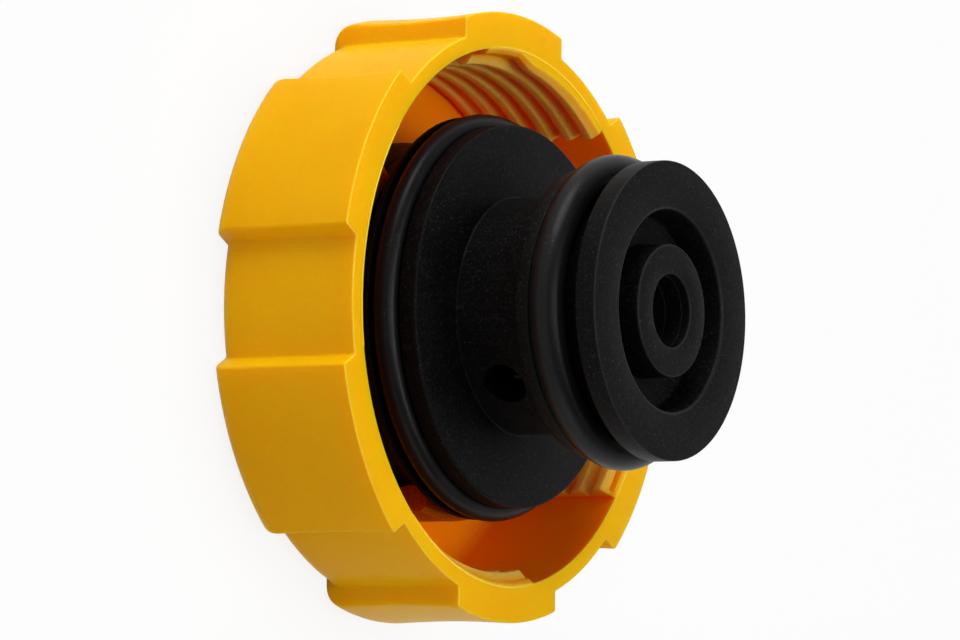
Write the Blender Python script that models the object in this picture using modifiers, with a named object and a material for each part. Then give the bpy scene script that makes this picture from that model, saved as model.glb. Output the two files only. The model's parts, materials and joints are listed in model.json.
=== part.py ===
"""A screw-on radiator cap: a moulded screw cap with grip pads and an interrupted internal thread,
and a sealed valve insert that snaps into it. Metres, +Z up. The cap stands on its roof, so the
origin is the centre of the roof's outer face and the insert's tip points up."""
import math

import bmesh
import bpy
from mathutils import Matrix

MM = 0.001
RUNNING_GAP = 0.3 * MM

# Screw cap
CAP_HEIGHT = 17.2 * MM
ROOF_WALL = 2.0 * MM
SKIRT_RADIUS = 30.4 * MM
SKIRT_WALL = 1.8 * MM
SHOULDER_ROUND = 2.6 * MM
CEILING_ROUND = 0.8 * MM
PAD_COUNT = 6
PAD_HEIGHT = 2.1 * MM
PAD_WIDTH_DEG = 37.0
PAD_CENTRE_DEG = 85.6
PAD_DRAFT_DEG = 1.2
PAD_SETBACK = 0.05 * MM
PAD_FOOTING = 0.9 * MM
PAD_EDGE_ROUND = 0.45 * MM

# Interrupted thread
SECTOR_COUNT = 4
SECTOR_START_DEG = 46.0
SECTOR_WIDTH_DEG = 50.0
SECTOR_RISE = 0.55 * MM
SECTOR_FOOTING = 0.3 * MM
THREAD_PITCH = 2.6 * MM
THREAD_DEPTH = 0.95 * MM
THREAD_CREST = 0.92 * MM
THREAD_START_DEG = 86.0
THREAD_START_DEPTH = 0.92 * MM
THREAD_RUN_OUT_DEG = 9.0

# Snap arms
ARM_COUNT = 3
ARM_CENTRE_DEG = 270.0
ARM_WIDTH_DEG = 40.0
ARM_WALL = 2.1 * MM
ARM_SETBACK = 2.0 * MM
ARM_EDGE = 0.5 * MM
HOOK_REACH = 0.9 * MM
HOOK_RAMP = 3.0 * MM
HOOK_LEAD = 0.9 * MM

# Valve housing, lengths from its back to its tip
INSERT_PLAY = 0.5 * MM
BODY_LENGTH = 9.8 * MM
BEAD_LENGTH = 2.2 * MM
SHOULDER_THICKNESS = 0.7 * MM
FLANGE_THICKNESS = 2.05 * MM
STEM_LENGTH = 8.85 * MM
SMALL_FLANGE_THICKNESS = 1.65 * MM
TIP_GROOVE_WIDTH = 5.8 * MM
TIP_THICKNESS = 2.35 * MM

# Valve housing, radii and steps between them
BODY_RADIUS = 19.2 * MM
SHOULDER_STEP = 2.3 * MM
FLANGE_STEP = 1.1 * MM
STEM_RADIUS = 12.6 * MM
SMALL_FLANGE_STEP = 2.75 * MM
TIP_STEP = 0.35 * MM
TIP_EDGE_ROUND = 0.15 * MM
RECESS_WALL = 2.35 * MM
RECESS_DRAFT = 0.4 * MM
RECESS_DEPTH = 3.6 * MM
RECESS_EDGE_ROUND = 0.45 * MM
BORE_RADIUS = 3.86 * MM
HUB_WALL = 3.09 * MM
BORE_STEP = 0.18 * MM
BORE_STEP_DEPTHS = (1.05 * MM, 2.9 * MM)
HOUSING_WALL = 2.3 * MM
TIP_WALL = 2.4 * MM
SIDE_HOLE_RADIUS = 2.4 * MM
SIDE_HOLE_HEIGHT = 4.3 * MM
SIDE_HOLE_DEG = 215.0
SEAT_HEIGHT = 1.0 * MM
SEAT_LAND = 1.0 * MM

# Seal rings
RING_GAP = 0.25 * MM
LARGE_RING_SECTION = 2.7 * MM
LARGE_RING_PROUD = 0.22 * MM
SMALL_RING_SECTION = 3.4 * MM
SMALL_RING_PROUD = 1.25 * MM

# Housing cover
COVER_THICKNESS = 1.8 * MM
COVER_LEDGE = 1.3 * MM
COVER_BOSS_HEIGHT = 1.5 * MM
COVER_BOSS_WALL = 1.6 * MM

# Valves and springs
SEAL_RADIUS = 6.4 * MM
SEAL_THICKNESS = 1.5 * MM
SEAL_HOLE = 1.9 * MM
PLATE_CLEARANCE = 0.5 * MM
PLATE_FLANGE = 1.6 * MM
PLATE_RIM = 1.1 * MM
PLATE_WEB = 1.12 * MM
SLEEVE_RADIUS = 6.2 * MM
SLEEVE_WALL = 2.1 * MM
SLEEVE_LENGTH = 4.1 * MM
PLATE_NOTCHES = 4
NOTCH_RADIUS = 1.5 * MM
VACUUM_STEM = 1.1 * MM
VACUUM_HEAD_PLAY = 0.5 * MM
VACUUM_HEAD_THICKNESS = 1.2 * MM
VACUUM_BULB_STEP = 0.6 * MM
VACUUM_BULB_LENGTH = 0.9 * MM
RETAINER_PLAY = 0.7 * MM
RETAINER_THICKNESS = 0.8 * MM
PRESSURE_WIRE = 0.7 * MM
PRESSURE_TURNS = 6
VACUUM_WIRE = 0.15 * MM
VACUUM_COIL_PLAY = 0.2 * MM
VACUUM_TURNS = 5
VACUUM_SPRING_LENGTH = 3.9 * MM

# Heights that follow from the lengths
CEILING = ROOF_WALL
HOUSING_BACK = CEILING + INSERT_PLAY
BEAD_FRONT = HOUSING_BACK + BEAD_LENGTH
HOOK_BACK = BEAD_FRONT + HOOK_RAMP
SHOULDER_BACK = HOUSING_BACK + BODY_LENGTH
SHOULDER_FRONT = SHOULDER_BACK + SHOULDER_THICKNESS
FLANGE_BACK = SHOULDER_FRONT + LARGE_RING_SECTION + 2 * RING_GAP
FLANGE_FRONT = FLANGE_BACK + FLANGE_THICKNESS
SMALL_FLANGE_BACK = FLANGE_FRONT + STEM_LENGTH
SMALL_FLANGE_FRONT = SMALL_FLANGE_BACK + SMALL_FLANGE_THICKNESS
TIP_BACK = SMALL_FLANGE_FRONT + TIP_GROOVE_WIDTH
TIP_FRONT = TIP_BACK + TIP_THICKNESS
RECESS_FLOOR = TIP_FRONT - RECESS_DEPTH
STEM_CHAMBER_END = RECESS_FLOOR - TIP_WALL
SEAT_FACE = STEM_CHAMBER_END - SEAT_HEIGHT
COVER_FRONT = HOUSING_BACK + COVER_THICKNESS
COVER_SEAT = COVER_FRONT + RUNNING_GAP
CHAMBER_STEP = FLANGE_FRONT - HOUSING_WALL
SEAL_FRONT = SEAT_FACE - RUNNING_GAP
SEAL_BACK = SEAL_FRONT - SEAL_THICKNESS
POCKET_FLOOR = SEAL_BACK - RUNNING_GAP
PLATE_BACK = POCKET_FLOOR - PLATE_FLANGE
SLEEVE_BACK = PLATE_BACK - SLEEVE_LENGTH
WEB_BACK = POCKET_FLOOR - PLATE_WEB
ARM_TOP = SHOULDER_BACK - ARM_SETBACK

# Radii that follow from the radii above
SKIRT_BORE = SKIRT_RADIUS - SKIRT_WALL
THREAD_ROOT_RADIUS = SKIRT_BORE - SECTOR_RISE
THREAD_CREST_RADIUS = THREAD_ROOT_RADIUS - THREAD_DEPTH
ARM_BORE = BODY_RADIUS + RUNNING_GAP
HOOK_BORE = ARM_BORE - HOOK_REACH
HOOK_FLOOR = BODY_RADIUS - HOOK_REACH
SHOULDER_RADIUS = BODY_RADIUS + SHOULDER_STEP
FLANGE_RADIUS = SHOULDER_RADIUS - FLANGE_STEP
SMALL_FLANGE_RADIUS = STEM_RADIUS + SMALL_FLANGE_STEP
TIP_RADIUS = SMALL_FLANGE_RADIUS + TIP_STEP
LARGE_RING_OUTER = SHOULDER_RADIUS + LARGE_RING_PROUD
SMALL_RING_OUTER = SMALL_FLANGE_RADIUS + SMALL_RING_PROUD
LARGE_RING_FLOOR = LARGE_RING_OUTER - LARGE_RING_SECTION - RING_GAP
SMALL_RING_FLOOR = SMALL_RING_OUTER - SMALL_RING_SECTION - RING_GAP
CHAMBER_RADIUS = HOOK_FLOOR - HOUSING_WALL
STEM_CHAMBER = STEM_RADIUS - HOUSING_WALL
COVER_BORE = CHAMBER_RADIUS + COVER_LEDGE
RECESS_RADIUS = SMALL_RING_FLOOR - RECESS_WALL
HUB_RADIUS = BORE_RADIUS + HUB_WALL
SEAT_BORE = BORE_RADIUS - 2 * BORE_STEP
PLATE_RADIUS = STEM_CHAMBER - PLATE_CLEARANCE
SLEEVE_BORE = SLEEVE_RADIUS - SLEEVE_WALL
RETAINER_RADIUS = SLEEVE_BORE - RETAINER_PLAY
VACUUM_HEAD = SEAT_BORE - VACUUM_HEAD_PLAY
VACUUM_BULB = VACUUM_STEM + VACUUM_BULB_STEP
PRESSURE_COIL = SLEEVE_RADIUS + RUNNING_GAP + PRESSURE_WIRE
VACUUM_COIL = SEAL_HOLE + VACUUM_COIL_PLAY + VACUUM_WIRE

# Facets round a full turn
CAP_STEPS = 60
HOUSING_STEPS = 44
VALVE_STEPS = 28
SMALL_STEPS = 20
STEP_DEG = 6.0

YELLOW_PLASTIC = ("yellow_plastic", (0.86, 0.50, 0.005), 0.42, 0.0)
BLACK_PLASTIC = ("black_plastic", (0.012, 0.012, 0.014), 0.5, 0.0)
SEAL_RUBBER = ("seal_rubber", (0.010, 0.010, 0.012), 0.38, 0.0)
SPRING_STEEL = ("spring_steel", (0.55, 0.55, 0.56), 0.3, 1.0)
BRASS = ("brass", (0.72, 0.52, 0.22), 0.3, 1.0)


def clear_scene():
    for obj in list(bpy.data.objects):
        bpy.data.objects.remove(obj, do_unlink=True)


def new_collection(name):
    collection = bpy.data.collections.new(name)
    bpy.context.scene.collection.children.link(collection)
    return collection


def material(spec):
    name, colour, roughness, metallic = spec
    found = bpy.data.materials.get(name)
    if found:
        return found
    made = bpy.data.materials.new(name)
    made.use_nodes = True
    shader = made.node_tree.nodes["Principled BSDF"]
    shader.inputs["Base Color"].default_value = (*colour, 1.0)
    shader.inputs["Roughness"].default_value = roughness
    shader.inputs["Metallic"].default_value = metallic
    return made


def place(name, mesh, spec, height=0.0):
    """A piece of the cap, with its origin on the cap's axis."""
    obj = bpy.data.objects.new(name, mesh)
    obj.location.z = height
    PARTS.objects.link(obj)
    mesh.materials.append(material(spec))
    return obj


def guide(name, mesh):
    """A shape that another piece is cut by or joined with."""
    obj = bpy.data.objects.new(name, mesh)
    CUTTERS.objects.link(obj)
    obj.hide_render = True
    obj.display_type = "WIRE"
    return obj


def boolean(obj, other, operation):
    modifier = obj.modifiers.new(other.name, "BOOLEAN")
    modifier.operation = operation
    modifier.object = other
    modifier.solver = "EXACT"


def outline(corners, closed=True):
    """Profile points from corners (radius, height, round, steps): a round is an arc of steps facets."""
    points = []
    count = len(corners)
    for index, corner in enumerate(corners):
        x, z, radius, steps = (*corner, 0.0, 1)[:4] if len(corner) == 2 else (*corner, 1)[:4]
        if radius <= 0.0 or (not closed and index in (0, count - 1)):
            points.append((x, z))
            continue
        before = corners[index - 1]
        after = corners[(index + 1) % count]
        ax, az = before[0] - x, before[1] - z
        bx, bz = after[0] - x, after[1] - z
        al, bl = math.hypot(ax, az), math.hypot(bx, bz)
        ax, az, bx, bz = ax / al, az / al, bx / bl, bz / bl
        half = 0.5 * math.acos(max(-1.0, min(1.0, ax * bx + az * bz)))
        reach = radius / math.tan(half)
        mid_x, mid_z = ax + bx, az + bz
        mid = math.hypot(mid_x, mid_z)
        centre_x = x + mid_x / mid * radius / math.sin(half)
        centre_z = z + mid_z / mid * radius / math.sin(half)
        start = math.atan2(z + az * reach - centre_z, x + ax * reach - centre_x)
        end = math.atan2(z + bz * reach - centre_z, x + bx * reach - centre_x)
        turn = (end - start + math.pi) % (2 * math.pi) - math.pi
        for step in range(steps + 1):
            angle = start + turn * step / steps
            points.append((centre_x + radius * math.cos(angle), centre_z + radius * math.sin(angle)))
    return points


def turned_mesh(name, points, closed, height=0.0):
    mesh = bpy.data.meshes.new(name)
    count = len(points)
    edges = [(i, (i + 1) % count) for i in range(count if closed else count - 1)]
    mesh.from_pydata([(x, 0.0, z - height) for x, z in points], edges, [])
    return mesh


def turn(obj, steps):
    modifier = obj.modifiers.new("turn", "SCREW")
    modifier.axis = "Z"
    modifier.angle = 2 * math.pi
    modifier.steps = steps
    modifier.render_steps = steps
    modifier.use_merge_vertices = True
    modifier.merge_threshold = 0.00001
    modifier.use_smooth_shade = True


def turned(name, points, spec, steps, height=0.0, closed=True):
    obj = place(name, turned_mesh(name, points, closed, height), spec, height)
    turn(obj, steps)
    return obj


def spin_face(work, points, start_deg, width_deg, rise=0.0):
    """Adds a solid swept from a profile face round the axis, climbing by rise over its width."""
    steps = max(2, round(width_deg / STEP_DEG))
    verts = [work.verts.new((x, 0.0, z)) for x, z in points]
    face = work.faces.new(verts)
    geometry = [*verts, *face.edges, face]
    bmesh.ops.rotate(work, verts=verts, cent=(0, 0, 0), matrix=Matrix.Rotation(math.radians(start_deg), 3, "Z"))
    bmesh.ops.spin(work, geom=geometry, cent=(0, 0, 0), axis=(0, 0, 1), dvec=(0, 0, rise / steps),
                   angle=math.radians(width_deg), steps=steps, use_duplicate=False)


def finish_mesh(work, name):
    bmesh.ops.recalc_face_normals(work, faces=work.faces)
    mesh = bpy.data.meshes.new(name)
    work.to_mesh(mesh)
    work.free()
    return mesh


def smooth(obj, angle_deg=32.0):
    obj.data.shade_smooth()
    obj.data.set_sharp_from_angle(angle=math.radians(angle_deg))


def cap_body():
    """Roof and skirt as one turned shell; its mouth is left long and is cut flat later."""
    mouth = CAP_HEIGHT + MM
    return outline([
        (0.0, CEILING),
        (SKIRT_BORE, CEILING, CEILING_ROUND, 2),
        (SKIRT_BORE, mouth),
        (SKIRT_RADIUS, mouth),
        (SKIRT_RADIUS, 0.0, SHOULDER_ROUND, 5),
        (0.0, 0.0),
    ], closed=False)


def pads_guide():
    """Grip pads: sectors with a rounded back end and rounded long edges."""
    work = bmesh.new()
    outer = SKIRT_RADIUS + PAD_HEIGHT
    inner = SKIRT_RADIUS - PAD_FOOTING
    profile = outline([
        (outer, CAP_HEIGHT + MM),
        (outer, PAD_SETBACK, SHOULDER_ROUND, 5),
        (SKIRT_RADIUS - SHOULDER_ROUND, PAD_SETBACK),
        (SKIRT_RADIUS - SHOULDER_ROUND, PAD_SETBACK + PAD_FOOTING),
        (inner, SHOULDER_ROUND),
        (inner, CAP_HEIGHT + MM),
    ])
    for index in range(PAD_COUNT):
        centre = PAD_CENTRE_DEG + 360.0 / PAD_COUNT * index
        spin_face(work, profile, centre - PAD_WIDTH_DEG / 2, PAD_WIDTH_DEG)
    lean_flanks(work, inner, outer)
    obj = guide("grip_pads", finish_mesh(work, "grip_pads"))
    bevel = obj.modifiers.new("long_edges", "BEVEL")
    bevel.width = PAD_EDGE_ROUND
    bevel.segments = 2
    bevel.limit_method = "ANGLE"
    bevel.angle_limit = math.radians(50)
    return obj


def lean_flanks(work, inner, outer):
    """Draws each pad's outer corners in towards its middle, as the mould's draft does."""
    pitch = 360.0 / PAD_COUNT
    for vert in work.verts:
        radius = math.hypot(vert.co.x, vert.co.y)
        angle = math.degrees(math.atan2(vert.co.y, vert.co.x))
        off = (angle - PAD_CENTRE_DEG + pitch / 2) % pitch - pitch / 2
        share = max(0.0, (radius - inner) / (outer - inner))
        shift = math.radians(-PAD_DRAFT_DEG * share * off / (PAD_WIDTH_DEG / 2))
        vert.co.rotate(Matrix.Rotation(shift, 3, "Z"))


def ridge_middle(helix_deg):
    """Height of the ridge's middle where the helix has turned to helix_deg; it runs out at the mouth."""
    return CAP_HEIGHT - THREAD_START_DEPTH + THREAD_PITCH * (helix_deg - THREAD_START_DEG) / 360.0


def sector_profile(start_deg, rise):
    """Comb outline of one sector where it starts: a chamfered land at the mouth, then the ridges."""
    back = SKIRT_BORE + SECTOR_FOOTING
    flank = (THREAD_PITCH - THREAD_CREST) / 2
    bottom = CEILING - ROOF_WALL / 4
    mouth = CAP_HEIGHT - rise / 2
    turns = math.ceil((start_deg + SECTOR_WIDTH_DEG - THREAD_START_DEG) / 360.0)
    middle = ridge_middle(start_deg - 360.0 * max(1, turns))
    points = [(back, mouth + SECTOR_FOOTING), (THREAD_ROOT_RADIUS, mouth - SECTOR_RISE)]
    while middle - THREAD_CREST / 2 > bottom:
        points.append((THREAD_ROOT_RADIUS, middle + THREAD_CREST / 2 + flank))
        points.append((THREAD_CREST_RADIUS, middle + THREAD_CREST / 2))
        points.append((THREAD_CREST_RADIUS, middle - THREAD_CREST / 2))
        middle -= THREAD_PITCH
    end = max(bottom, middle + THREAD_PITCH / 2)
    return [*points, (THREAD_ROOT_RADIUS, end), (back, end)]


def first_ridge_guide():
    """The ridge in the first sector that runs out before the mouth."""
    work = bmesh.new()
    back = SKIRT_BORE + SECTOR_FOOTING
    slope = (THREAD_PITCH - THREAD_CREST) / 2 / THREAD_DEPTH
    spread = THREAD_CREST / 2 + slope * (back - THREAD_CREST_RADIUS)
    middle = ridge_middle(SECTOR_START_DEG)
    width = THREAD_START_DEG - SECTOR_START_DEG
    profile = [
        (back, middle + spread),
        (THREAD_CREST_RADIUS, middle + THREAD_CREST / 2),
        (THREAD_CREST_RADIUS, middle - THREAD_CREST / 2),
        (back, middle - spread),
    ]
    spin_face(work, profile, SECTOR_START_DEG, width, THREAD_PITCH * width / 360.0)
    for vert in work.verts:
        radius = math.hypot(vert.co.x, vert.co.y)
        angle = math.degrees(math.atan2(vert.co.y, vert.co.x))
        faded = (angle - THREAD_START_DEG) / THREAD_RUN_OUT_DEG + 1.0
        if faded > 0.0 and radius < THREAD_ROOT_RADIUS:
            sunk = radius + (THREAD_DEPTH + SECTOR_FOOTING) * min(1.0, faded)
            vert.co.x *= sunk / radius
            vert.co.y *= sunk / radius
    return guide("thread_start", finish_mesh(work, "thread_start"))


def thread_guide():
    """Right-hand thread in sectors, each cut from the same helix."""
    work = bmesh.new()
    rise = THREAD_PITCH * SECTOR_WIDTH_DEG / 360.0
    for index in range(SECTOR_COUNT):
        start = SECTOR_START_DEG + 360.0 / SECTOR_COUNT * index
        spin_face(work, sector_profile(start, rise), start, SECTOR_WIDTH_DEG, rise)
    return guide("thread_sectors", finish_mesh(work, "thread_sectors"))


def mouth_guide():
    """What is cut away at the mouth: all that stands above the rim's flat face."""
    depth = 5 * MM
    work = bmesh.new()
    bmesh.ops.create_cone(work, cap_ends=True, segments=CAP_STEPS, radius1=2 * SKIRT_RADIUS,
                          radius2=2 * SKIRT_RADIUS, depth=depth,
                          matrix=Matrix.Translation((0.0, 0.0, CAP_HEIGHT + depth / 2)))
    return guide("mouth_cut", finish_mesh(work, "mouth_cut"))


def arms_guide():
    """Snap arms on the ceiling, each with a ramped hook in front of the insert's bead."""
    work = bmesh.new()
    outer = ARM_BORE + ARM_WALL
    root = CEILING - ROOF_WALL / 4
    profile = [
        (outer - ARM_EDGE, ARM_TOP),
        (outer, ARM_TOP - ARM_EDGE),
        (outer, root),
        (ARM_BORE, root),
        (ARM_BORE, BEAD_FRONT),
        (HOOK_BORE, HOOK_BACK),
        (HOOK_BORE, ARM_TOP - HOOK_LEAD),
        (ARM_BORE, ARM_TOP),
    ]
    for index in range(ARM_COUNT):
        centre = ARM_CENTRE_DEG + 360.0 / ARM_COUNT * index
        spin_face(work, profile, centre - ARM_WIDTH_DEG / 2, ARM_WIDTH_DEG)
    return guide("snap_arms", finish_mesh(work, "snap_arms"))


def screw_cap():
    cap = turned("screw_cap", cap_body(), YELLOW_PLASTIC, CAP_STEPS, closed=False)
    boolean(cap, pads_guide(), "UNION")
    boolean(cap, thread_guide(), "UNION")
    boolean(cap, first_ridge_guide(), "UNION")
    boolean(cap, mouth_guide(), "DIFFERENCE")
    boolean(cap, arms_guide(), "UNION")
    return cap


def housing_profile():
    recess_floor_radius = RECESS_RADIUS - RECESS_DRAFT
    outside = [
        (TIP_RADIUS, TIP_FRONT, TIP_EDGE_ROUND, 1),
        (TIP_RADIUS, TIP_BACK),
        (SMALL_RING_FLOOR, TIP_BACK),
        (SMALL_RING_FLOOR, SMALL_FLANGE_FRONT),
        (SMALL_FLANGE_RADIUS, SMALL_FLANGE_FRONT, 0.2 * MM, 1),
        (SMALL_FLANGE_RADIUS, SMALL_FLANGE_BACK, 0.2 * MM, 1),
        (STEM_RADIUS, SMALL_FLANGE_BACK),
        (STEM_RADIUS, FLANGE_FRONT, 0.35 * MM, 1),
        (FLANGE_RADIUS, FLANGE_FRONT, 0.3 * MM, 1),
        (FLANGE_RADIUS, FLANGE_BACK),
        (LARGE_RING_FLOOR, FLANGE_BACK),
        (LARGE_RING_FLOOR, SHOULDER_FRONT),
        (SHOULDER_RADIUS, SHOULDER_FRONT),
        (SHOULDER_RADIUS, SHOULDER_BACK, 0.3 * MM, 1),
        (HOOK_FLOOR, SHOULDER_BACK),
        (HOOK_FLOOR, HOOK_BACK),
        (BODY_RADIUS, BEAD_FRONT),
        (BODY_RADIUS, HOUSING_BACK, 0.4 * MM, 1),
    ]
    inside = [
        (COVER_BORE, HOUSING_BACK),
        (COVER_BORE, COVER_SEAT),
        (CHAMBER_RADIUS, COVER_SEAT),
        (CHAMBER_RADIUS, CHAMBER_STEP),
        (STEM_CHAMBER, CHAMBER_STEP),
        (STEM_CHAMBER, STEM_CHAMBER_END),
        (SEAT_BORE + SEAT_LAND + 0.4 * MM, STEM_CHAMBER_END),
        (SEAT_BORE + SEAT_LAND, SEAT_FACE),
        (SEAT_BORE, SEAT_FACE),
        (SEAT_BORE, TIP_FRONT - BORE_STEP_DEPTHS[1]),
        (BORE_RADIUS - BORE_STEP, TIP_FRONT - BORE_STEP_DEPTHS[1]),
        (BORE_RADIUS - BORE_STEP, TIP_FRONT - BORE_STEP_DEPTHS[0]),
        (BORE_RADIUS, TIP_FRONT - BORE_STEP_DEPTHS[0]),
        (BORE_RADIUS, TIP_FRONT, 0.2 * MM, 1),
        (HUB_RADIUS, TIP_FRONT, 0.25 * MM, 1),
        (HUB_RADIUS, RECESS_FLOOR),
        (recess_floor_radius, RECESS_FLOOR),
        (RECESS_RADIUS, TIP_FRONT, RECESS_EDGE_ROUND, 2),
    ]
    return outline(outside + inside)


def side_holes_guide():
    work = bmesh.new()
    depth = STEM_RADIUS - STEM_CHAMBER
    for index in range(2):
        angle = math.radians(SIDE_HOLE_DEG + 180.0 * index)
        middle = Matrix.Translation((STEM_RADIUS - depth / 2, 0.0, FLANGE_FRONT + SIDE_HOLE_HEIGHT))
        lie = Matrix.Rotation(math.pi / 2, 4, "Y")
        bmesh.ops.create_cone(work, cap_ends=True, segments=SMALL_STEPS, radius1=SIDE_HOLE_RADIUS,
                              radius2=SIDE_HOLE_RADIUS, depth=depth + 4 * MM,
                              matrix=Matrix.Rotation(angle, 4, "Z") @ middle @ lie)
    return guide("side_holes", finish_mesh(work, "side_holes"))


def valve_housing():
    housing = turned("valve_housing", housing_profile(), BLACK_PLASTIC, HOUSING_STEPS)
    boolean(housing, side_holes_guide(), "DIFFERENCE")
    return housing


def housing_cover():
    boss = PRESSURE_COIL - PRESSURE_WIRE - RUNNING_GAP
    rim = COVER_BORE - RUNNING_GAP
    points = [
        (0.0, COVER_FRONT),
        (boss - COVER_BOSS_WALL, COVER_FRONT),
        (boss - COVER_BOSS_WALL, COVER_FRONT + COVER_BOSS_HEIGHT),
        (boss, COVER_FRONT + COVER_BOSS_HEIGHT),
        (boss, COVER_FRONT),
        (rim, COVER_FRONT),
        (rim, HOUSING_BACK),
        (0.0, HOUSING_BACK),
    ]
    return turned("housing_cover", points, BLACK_PLASTIC, HOUSING_STEPS, HOUSING_BACK, closed=False)


def seal_ring(name, outer, section, height, major_steps):
    bpy.ops.mesh.primitive_torus_add(
        major_radius=outer - section / 2, minor_radius=section / 2,
        major_segments=major_steps, minor_segments=8, location=(0.0, 0.0, 0.0))
    made = bpy.context.object
    ring = place(name, made.data.copy(), SEAL_RUBBER, height)
    bpy.data.objects.remove(made, do_unlink=True)
    return ring


def coil(name, radius, wire, turns, low, high, steps, spec):
    """A compression spring with closed end turns, between two seats."""
    curve = bpy.data.curves.new(name, "CURVE")
    curve.dimensions = "3D"
    curve.bevel_depth = wire
    curve.bevel_resolution = 2
    curve.use_fill_caps = True
    spline = curve.splines.new("POLY")
    count = turns * steps + 1
    spline.points.add(count - 1)
    close = 2.2 * wire
    length = high - low - 2 * wire
    open_pitch = (length - 2 * close) / (turns - 2)
    for index in range(count):
        turned_by = index / steps
        rise = close * min(turned_by, 1.0) + close * max(0.0, turned_by - turns + 1)
        rise += open_pitch * max(0.0, min(turned_by, turns - 1) - 1.0)
        angle = 2 * math.pi * turned_by
        spline.points[index].co = (radius * math.cos(angle), radius * math.sin(angle), wire + rise, 1.0)
    obj = bpy.data.objects.new(name, curve)
    obj.location.z = low
    PARTS.objects.link(obj)
    curve.materials.append(material(spec))
    return obj


def pressure_valve_plate():
    """Guided plate with a pocket for the seal in front and a sleeve for the springs behind."""
    pocket = SEAL_RADIUS + RUNNING_GAP
    rim_top = POCKET_FLOOR + PLATE_RIM
    points = [
        (pocket + PLATE_RIM, rim_top),
        (PLATE_RADIUS, POCKET_FLOOR),
        (PLATE_RADIUS, PLATE_BACK),
        (SLEEVE_RADIUS, PLATE_BACK),
        (SLEEVE_RADIUS, SLEEVE_BACK),
        (SLEEVE_BORE, SLEEVE_BACK),
        (SLEEVE_BORE, WEB_BACK),
        (SEAL_HOLE, WEB_BACK),
        (SEAL_HOLE, POCKET_FLOOR),
        (pocket, POCKET_FLOOR),
        (pocket, rim_top),
    ]
    plate = turned("pressure_valve_plate", points, BLACK_PLASTIC, VALVE_STEPS, PLATE_BACK)
    work = bmesh.new()
    for index in range(PLATE_NOTCHES):
        angle = 2 * math.pi * index / PLATE_NOTCHES
        at = (PLATE_RADIUS * math.cos(angle), PLATE_RADIUS * math.sin(angle), POCKET_FLOOR)
        bmesh.ops.create_cone(work, cap_ends=True, segments=12, radius1=NOTCH_RADIUS, radius2=NOTCH_RADIUS,
                              depth=4 * PLATE_FLANGE, matrix=Matrix.Translation(at))
    boolean(plate, guide("flow_notches", finish_mesh(work, "flow_notches")), "DIFFERENCE")
    return plate


def pressure_valve_seal():
    points = [
        (SEAL_RADIUS, SEAL_FRONT),
        (SEAL_RADIUS, SEAL_BACK),
        (SEAL_HOLE, SEAL_BACK),
        (SEAL_HOLE, SEAL_FRONT),
    ]
    return turned("pressure_valve_seal", points, SEAL_RUBBER, VALVE_STEPS, SEAL_BACK)


def retainer_front():
    return WEB_BACK - VACUUM_SPRING_LENGTH - 2 * RUNNING_GAP


def vacuum_valve():
    """Headed stem through the seal and plate, with a bulb behind the retainer."""
    head_back = SEAL_FRONT + RUNNING_GAP
    head_front = head_back + VACUUM_HEAD_THICKNESS
    bulb_front = retainer_front() - RETAINER_THICKNESS - RUNNING_GAP
    points = outline([
        (0.0, head_front),
        (VACUUM_HEAD, head_front, 0.5 * MM, 2),
        (VACUUM_HEAD, head_back),
        (VACUUM_STEM, head_back),
        (VACUUM_STEM, bulb_front),
        (VACUUM_BULB, bulb_front),
        (VACUUM_STEM, bulb_front - VACUUM_BULB_LENGTH),
        (0.0, bulb_front - VACUUM_BULB_LENGTH),
    ], closed=False)
    return turned("vacuum_valve", points, BRASS, SMALL_STEPS, head_back, closed=False)


def vacuum_spring_retainer():
    front = retainer_front()
    back = front - RETAINER_THICKNESS
    bore = VACUUM_STEM + RUNNING_GAP
    points = [(RETAINER_RADIUS, front), (RETAINER_RADIUS, back), (bore, back), (bore, front)]
    return turned("vacuum_spring_retainer", points, SPRING_STEEL, SMALL_STEPS, back)


def axis_empty(name, height, children):
    """An empty on the cap's axis, height above the roof, that carries one moving body."""
    empty = bpy.data.objects.new(name, None)
    empty.location.z = height
    PARTS.objects.link(empty)
    for child in children:
        child.location.z -= height
        child.parent = empty
    return empty


clear_scene()
PARTS = new_collection("radiator_cap")
CUTTERS = new_collection("cutters")

cap = screw_cap()
housing = valve_housing()
cover = housing_cover()
large_ring_height = (SHOULDER_FRONT + FLANGE_BACK) / 2
small_ring_height = SMALL_FLANGE_FRONT + RUNNING_GAP + SMALL_RING_SECTION / 2
large_ring = seal_ring("large_o_ring", LARGE_RING_OUTER, LARGE_RING_SECTION, large_ring_height, 48)
small_ring = seal_ring("small_o_ring", SMALL_RING_OUTER, SMALL_RING_SECTION, small_ring_height, 40)
plate = pressure_valve_plate()
seal = pressure_valve_seal()
valve = vacuum_valve()
retainer = vacuum_spring_retainer()
pressure_spring = coil("pressure_spring", PRESSURE_COIL, PRESSURE_WIRE, PRESSURE_TURNS,
                       COVER_FRONT + RUNNING_GAP, PLATE_BACK - RUNNING_GAP, 10, SPRING_STEEL)
vacuum_spring = coil("vacuum_spring", VACUUM_COIL, VACUUM_WIRE, VACUUM_TURNS,
                     retainer_front() + RUNNING_GAP, WEB_BACK - RUNNING_GAP, 8, SPRING_STEEL)

for piece in (cap, housing, cover, large_ring, small_ring, plate, seal, valve, retainer):
    smooth(piece)

vacuum_body = axis_empty("vacuum_body", SEAL_FRONT, [valve, retainer])
pressure_body = axis_empty("pressure_body", PLATE_BACK, [plate, seal, vacuum_spring, vacuum_body])
axis_empty("insert_body", HOUSING_BACK,
           [housing, cover, large_ring, small_ring, pressure_spring, pressure_body])
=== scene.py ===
"""The looks of the radiator cap: a yellow moulded screw cap with a black valve insert and its seal rings."""
import json
import math

import bmesh
import bpy
from mathutils import Matrix, Vector


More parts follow.
